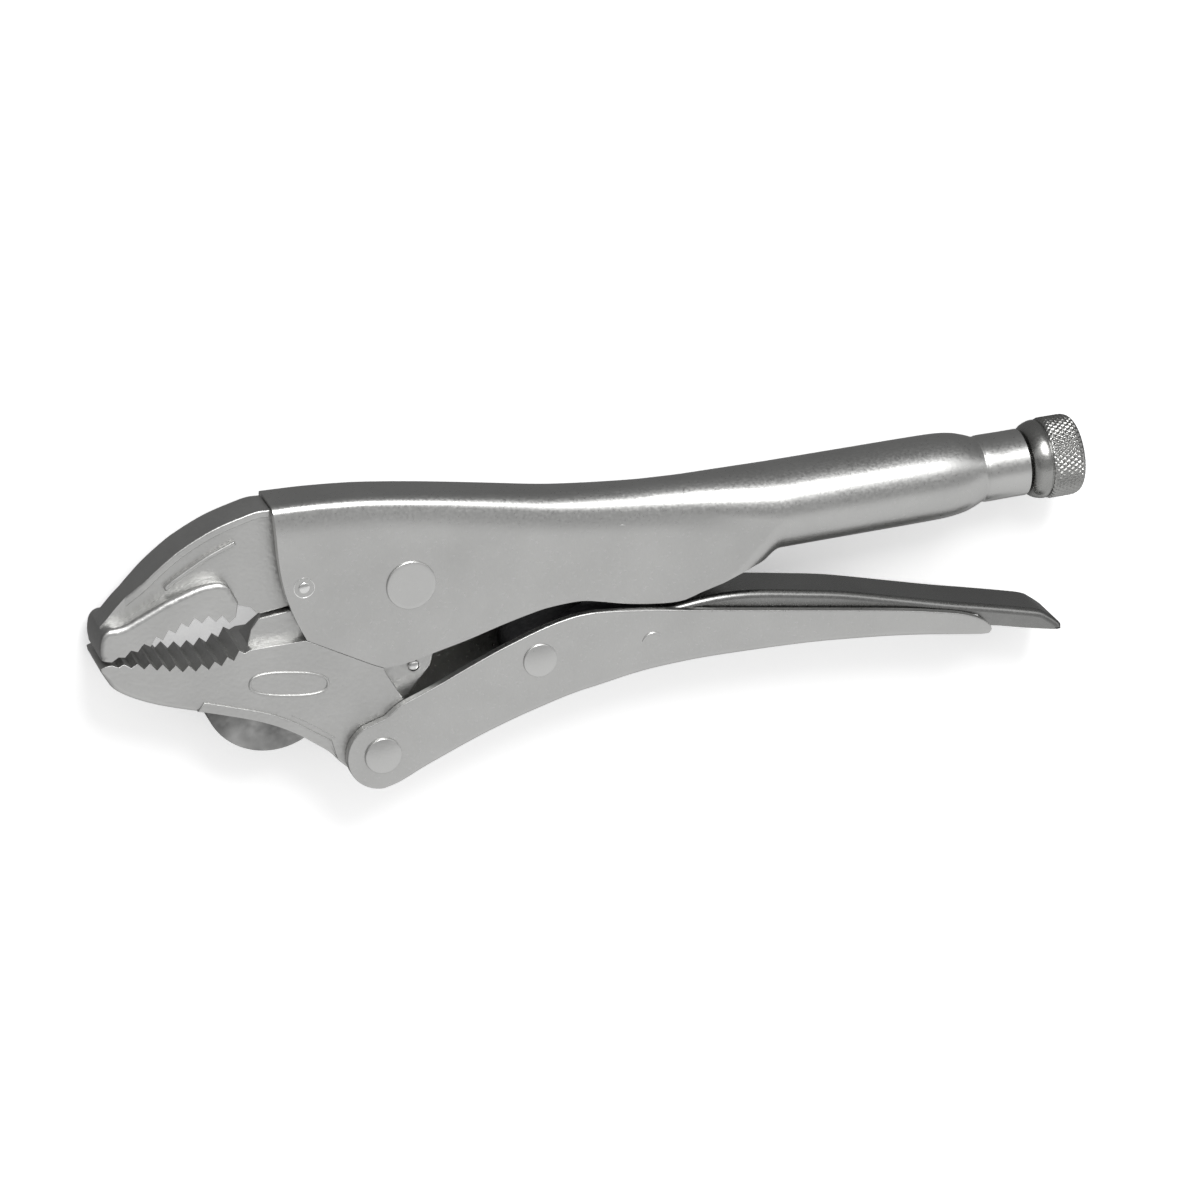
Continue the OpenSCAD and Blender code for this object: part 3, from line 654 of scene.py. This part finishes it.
def makeJawPin(s):
    # a small pin end: a raised lip, a ring groove and a domed middle
    head = smooth(s["head"], 3) + [0, s["face"]]
    head[-1, 0] = 0
    profile = np.vstack([head[::-1] * [1, -1], head])
    return makePiece("jawPinEnds", turned(profile[::-1], (*jawPinAt, 0), sides=40), "polishedPin",
                     "upper", ["jaw_pin"])


makeJawPin(jawPinShape)

springPinShape = dict(r=1.5, face=5.3, dome=0.9)


def makeSpringPin(s):
    # a bright pin whose end stands proud of the tongue: (r cos a, face + dome sin a)
    a = np.radians(np.linspace(0, 90, 7))
    dome = np.stack([s["r"] * np.cos(a), s["face"] + s["dome"] * np.sin(a)], 1)
    dome[-1, 0] = 0
    profile = np.vstack([dome[::-1] * [1, -1], dome])
    return makePiece("springPinEnds", turned(profile[::-1], (*springAt, 0), sides=32), "polishedPin",
                     "jaw", ["spring_pin"])


leverPinShape = dict(r=2.0, face=9.9, archR=2.9, archArc=(35, 160), archDrop=0.3, thin=0.08, swell=0.34)


def makeLeverPin(s):
    # the pin ends inside the walls, under a short pressed arch: a wire of r = thin + swell sin^0.7
    r, face = s["r"], s["face"]
    cap = [(r, face - 0.9), (r, face - 0.4), (r - 0.2, face - 0.2), (0, face - 0.2)]
    profile = np.vstack([np.array(cap)[::-1] * [1, -1], cap])
    ends = turned(profile[::-1], (*leverAt, 0), sides=40)
    bow = arc(leverAt - [0, s["archDrop"]], s["archR"], *s["archArc"], count=24)
    wire = s["thin"] + s["swell"] * np.sin(np.linspace(0, np.pi, len(bow)))**0.7
    arch = bothSides(carriedWire(np.c_[bow, np.full(len(bow), face - 0.06)], wire[:, None, None], sides=10))
    return makePiece("leverPinEnds", joined(ends, arch), "rivetNickel", "handle",
                     ["lever_pin"])


makeSpringPin(springPinShape)
makeLeverPin(leverPinShape)
print("rivets and pins made")

# knob: a domed shoulder with a groove, then a diamond-knurled band with rounded ends
knobShape = dict(
    start=156.2, axisY=1.4, bandFrom=5.0, overlap=0.3, band=8.2, r=9.9, grooves=46, cut=0.42, lead=1.9,
    endRound=1.5, endLength=2.2, flatten=0.92, capLift=0.7,
    shoulder=[(0, 0), (5.0, 0), (7.5, 0.05), (7.9, 0.15), (8.4, 0.6), (8.9, 1.3), (9.25, 2.1), (9.5, 3.0),
              (9.6, 3.8), (9.5, 4.2), (9.2, 4.35), (9.2, 4.6), (9.0, 6.5), (0, 6.5)])


def makeKnob(s):
    shoulder = turned(s["shoulder"], (s["start"], s["axisY"], 0), along=(1, 0, 0), sides=72)
    rows, sides = 64, s["grooves"] * 6
    # r(x, t) = profile(x) - cut max(g(n t / 2 pi + x / lead), g(n t / 2 pi - x / lead)), n grooves,
    # g a triangle wave from 0 on the flats to 1 in the grooves
    x = np.linspace(0, s["band"], rows)[:, None]
    t = np.linspace(0, 2 * np.pi, sides, endpoint=False)[None]
    wave = s["grooves"] * t / (2 * np.pi)

    def cut(q):
        return np.maximum(1 - 3.25 * abs((q % 1) - 0.5), 0)

    both = np.maximum(cut(wave + x / s["lead"]), cut(wave - x / s["lead"]))
    # grooves are shallower at both ends; the front edge is eased over 1 mm, and the end is an arc
    fade = np.clip(np.minimum(x, s["band"] - x) / 0.9, 0, 1)
    frontEase = 0.4 * (1 - np.minimum(x, 1))**2
    close = np.clip((x - (s["band"] - s["endLength"])) / s["endLength"], 0, 1)
    body = s["r"] - frontEase - s["endRound"] * (1 - np.sqrt(1 - close**2 * s["flatten"]))
    r = body - s["cut"] * both * (0.35 + 0.65 * fade)
    at = s["start"] + s["bandFrom"] - s["overlap"]
    ring = np.stack([at + x + 0 * t, s["axisY"] + r * np.cos(t), r * np.sin(t)], -1)
    faces = gridFaces(rows, sides, loopCols=True)
    endR = s["r"] - s["endRound"] * (1 - math.sqrt(1 - s["flatten"])) - 0.25
    capProfile = [(0, 1.0), (endR - 1.6, 1.0), (endR - 0.5, 0.9), (endR + 0.2, 0.62), (endR - 0.2, -0.4),
                  (0, -0.4)]
    capAt = at + s["band"] - s["capLift"]
    cap = turned(capProfile, (capAt, s["axisY"], 0), along=(1, 0, 0), sides=72)
    faces += [list(range(sides))[::-1], list(range((rows - 1) * sides, rows * sides))]
    return makePiece("knobKnurled", joined(shoulder, (ring.reshape(-1, 3), faces), cap),
                     "knurledNickel", "screw", ["knob"], crease=60)


makeKnob(knobShape)

# adjusting screw: a single-start thread, r(x, t) = outer - depth x triangle(x / pitch - t / 2 pi)
screwShape = dict(tipR=2.6, tipLength=3.4, r=4.7, pitch=1.5, depth=0.75, axisY=1.4, runIn=2)


def makeScrew(s):
    low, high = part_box("adjusting_screw")
    start, stop, tipLength = low[0] / mm, high[0] / mm, s["tipLength"]
    x = np.arange(start + tipLength, stop, s["pitch"] / 8)[:, None]
    t = np.linspace(0, 2 * np.pi, 40, endpoint=False)[None]
    tri = 2 * abs(((x / s["pitch"] - t / (2 * np.pi)) % 1) - 0.5)
    ease = np.clip((x - x[0]) / s["runIn"], 0, 1)
    r = s["r"] - s["depth"] * (1 - ease) - s["depth"] * tri * ease
    ring = np.stack([x + 0 * t, s["axisY"] + r * np.cos(t), r * np.sin(t)], -1)
    rows, sides = ring.shape[:2]
    faces = gridFaces(rows, sides, loopCols=True)
    faces += [list(range(sides))[::-1], list(range((rows - 1) * sides, rows * sides))]
    tipProfile = [(0, 0), (s["tipR"] - 0.4, 0), (s["tipR"], 0.4), (s["tipR"], tipLength + 0.4),
                  (0, tipLength + 0.4)]
    tip = turned(tipProfile, (start, s["axisY"], 0), along=(1, 0, 0), sides=40)
    return makePiece("adjustingScrewThread", joined((ring.reshape(-1, 3), faces), tip), "platedScrew",
                     "screw", ["adjusting_screw"], crease=60)


makeScrew(screwShape)
print("knob and screw made")

# return spring: a close coil between two hooked ends
springShape = dict(wire=0.4, coilR=2.25, turns=30, hookR=1.9, lead=8.5, giveFrom=5, giveTo=34)


def makeSpring(s):
    start, stop = np.array([*springAt, 0.0]), np.array([*postAt, 0.0])
    span = np.linalg.norm(stop - start)
    ex = (stop - start) / span
    ey = np.array([-ex[1], ex[0], 0])
    ez = np.array([0, 0, 1.0])
    # coil: ex s + R (ey cos 2 pi k + ez sin 2 pi k); each end runs in to the axis and round its pin
    k = np.linspace(0, s["turns"], s["turns"] * 18 + 1)
    along = s["lead"] + (span - 2 * s["lead"]) * k / s["turns"]
    coil = np.stack([along, s["coilR"] * np.cos(2 * np.pi * k), s["coilR"] * np.sin(2 * np.pi * k)], 1)
    a = np.radians(np.linspace(295, 0, 20))
    hook = np.stack([s["hookR"] * np.cos(a), s["hookR"] * np.sin(a), 0 * a], 1)
    lead = np.array([[s["hookR"] + 1.6, 0.5, 0], [s["lead"] - 1.2, 1.6, 0.0]])
    front = smooth(np.vstack([hook, lead, coil[:1]]), 3)[:-1]
    rear = front[::-1] * [-1, 1, -1] + [span, 0, 0]
    local = np.vstack([front, coil, rear])
    path = start + local[:, :1] * ex + local[:, 1:2] * ey + local[:, 2:] * ez
    # the tuple names the jaw for the front hook and the upper handle for the rear one, with the two points
    # between which the coil lies; makePiece leaves the piece unattached
    give = ("jaw", "upper", start + s["giveFrom"] * ex, start + s["giveTo"] * ex)
    wire = carriedWire(path, s["wire"], sides=8)
    return makePiece("returnSpringCoil", wire, "springWire", give, ["return_spring"])


makeSpring(springShape)
print("spring made")

# CAD nodes that stay get their finish
kept = dict(screw_bush="oiledSteel", spring_post="rivetNickel", toggle_link="oiledSteel",
            thrust_pin="oiledSteel", screw_button="oiledSteel", link_spacers="oiledSteel")
for node, look in kept.items():
    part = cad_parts[node]
    part.data.materials.clear()
    part.data.materials.append(finish[look])
print("kept nodes finished")

# floor, one lamp and a surround that changes with the angle round the tool's long axis, in degrees
# from straight up towards the spine: a soft box over the spine, a dark gap, a pale front, dark below
stageSet = dict(
    floorZ=-10.85, floorHalf=3.0, floorTone=0.94, floorGlow=0.42, floorRough=0.9,
    lampSize=0.5, lampPower=6.0, lampAt=(0.15, 0.75, 0.65),
    surround=[(-180, 0.16), (-132, 0.20), (-112, 0.66), (-22, 0.80), (-8, 0.36), (24, 0.34), (38, 1.18),
              (50, 1.18), (70, 0.20), (180, 0.16)], dimTo=-0.8, dimFrom=-0.3, dimLevel=0.55)


def makeFloor(s):
    mesh = bpy.data.meshes.new("floorSheet")
    corner = s["floorHalf"] * np.array([(-1, -1), (1, -1), (1, 1), (-1, 1)])
    mesh.from_pydata(np.c_[corner, np.full(4, s["floorZ"] * mm)].tolist(), [], [(0, 1, 2, 3)])
    floor = bpy.data.objects.new("floorSheet", mesh)
    bpy.context.scene.collection.objects.link(floor)
    mat = bpy.data.materials.new("paleFloor")
    mat.use_nodes = True
    shader = mat.node_tree.nodes["Principled BSDF"]
    shader.inputs["Base Color"].default_value = (s["floorTone"],) * 3 + (1,)
    shader.inputs["Roughness"].default_value = s["floorRough"]
    shader.inputs["Emission Color"].default_value = (1, 1, 1, 1)
    shader.inputs["Emission Strength"].default_value = s["floorGlow"]
    mesh.materials.append(mat)
    floor.visible_glossy = False


def makeSurround(s):
    world = bpy.data.worlds.new("softSurround")
    bpy.context.scene.world = world
    world.use_nodes = True
    nodes, links = world.node_tree.nodes, world.node_tree.links
    coords = nodes.new("ShaderNodeTexCoord")
    split = nodes.new("ShaderNodeSeparateXYZ")
    angle = nodes.new("ShaderNodeMath")
    angle.operation = "ARCTAN2"
    share = nodes.new("ShaderNodeMapRange")
    share.inputs["From Min"].default_value = -math.pi
    share.inputs["From Max"].default_value = math.pi
    ramp = nodes.new("ShaderNodeValToRGB")
    links.new(coords.outputs["Generated"], split.inputs["Vector"])
    links.new(split.outputs["Y"], angle.inputs[0])
    links.new(split.outputs["Z"], angle.inputs[1])
    links.new(angle.outputs["Value"], share.inputs["Value"])
    links.new(share.outputs["Result"], ramp.inputs["Fac"])
    stops = ramp.color_ramp.elements
    stops.remove(stops[1])
    brightest = max(level for _, level in s["surround"])
    for k, (degrees, level) in enumerate(s["surround"]):
        stop = stops[0] if k == 0 else stops.new((degrees + 180) / 360)
        stop.position = (degrees + 180) / 360
        stop.color = (level / brightest,) * 3 + (1,)
    # towards the jaw end the surround dims to dimLevel, between directions of x = dimFrom and dimTo
    dim = nodes.new("ShaderNodeMapRange")
    dim.inputs["From Min"].default_value = s["dimTo"]
    dim.inputs["From Max"].default_value = s["dimFrom"]
    dim.inputs["To Min"].default_value = s["dimLevel"]
    shade = nodes.new("ShaderNodeVectorMath")
    shade.operation = "SCALE"
    links.new(split.outputs["X"], dim.inputs["Value"])
    links.new(ramp.outputs["Color"], shade.inputs[0])
    links.new(dim.outputs["Result"], shade.inputs["Scale"])
    links.new(shade.outputs["Vector"], nodes["Background"].inputs["Color"])
    nodes["Background"].inputs["Strength"].default_value = brightest


def makeLamp(s):
    light = bpy.data.lights.new("softLamp", "AREA")
    light.shape = "DISK"
    light.size = s["lampSize"]
    light.energy = s["lampPower"]
    lamp = bpy.data.objects.new("softLamp", light)
    bpy.context.scene.collection.objects.link(lamp)
    towards = np.array(s["lampAt"])
    back = towards / np.linalg.norm(towards)
    right = np.cross([0, 1, 0], back)
    right /= np.linalg.norm(right)
    matrix = Matrix(np.stack([right, np.cross(back, right), back], 1).tolist()).to_4x4()
    matrix.translation = towards
    lamp.matrix_world = matrix


makeFloor(stageSet)
makeSurround(stageSet)
makeLamp(stageSet)
bpy.context.scene.view_settings.view_transform = "Standard"
print("stage set")
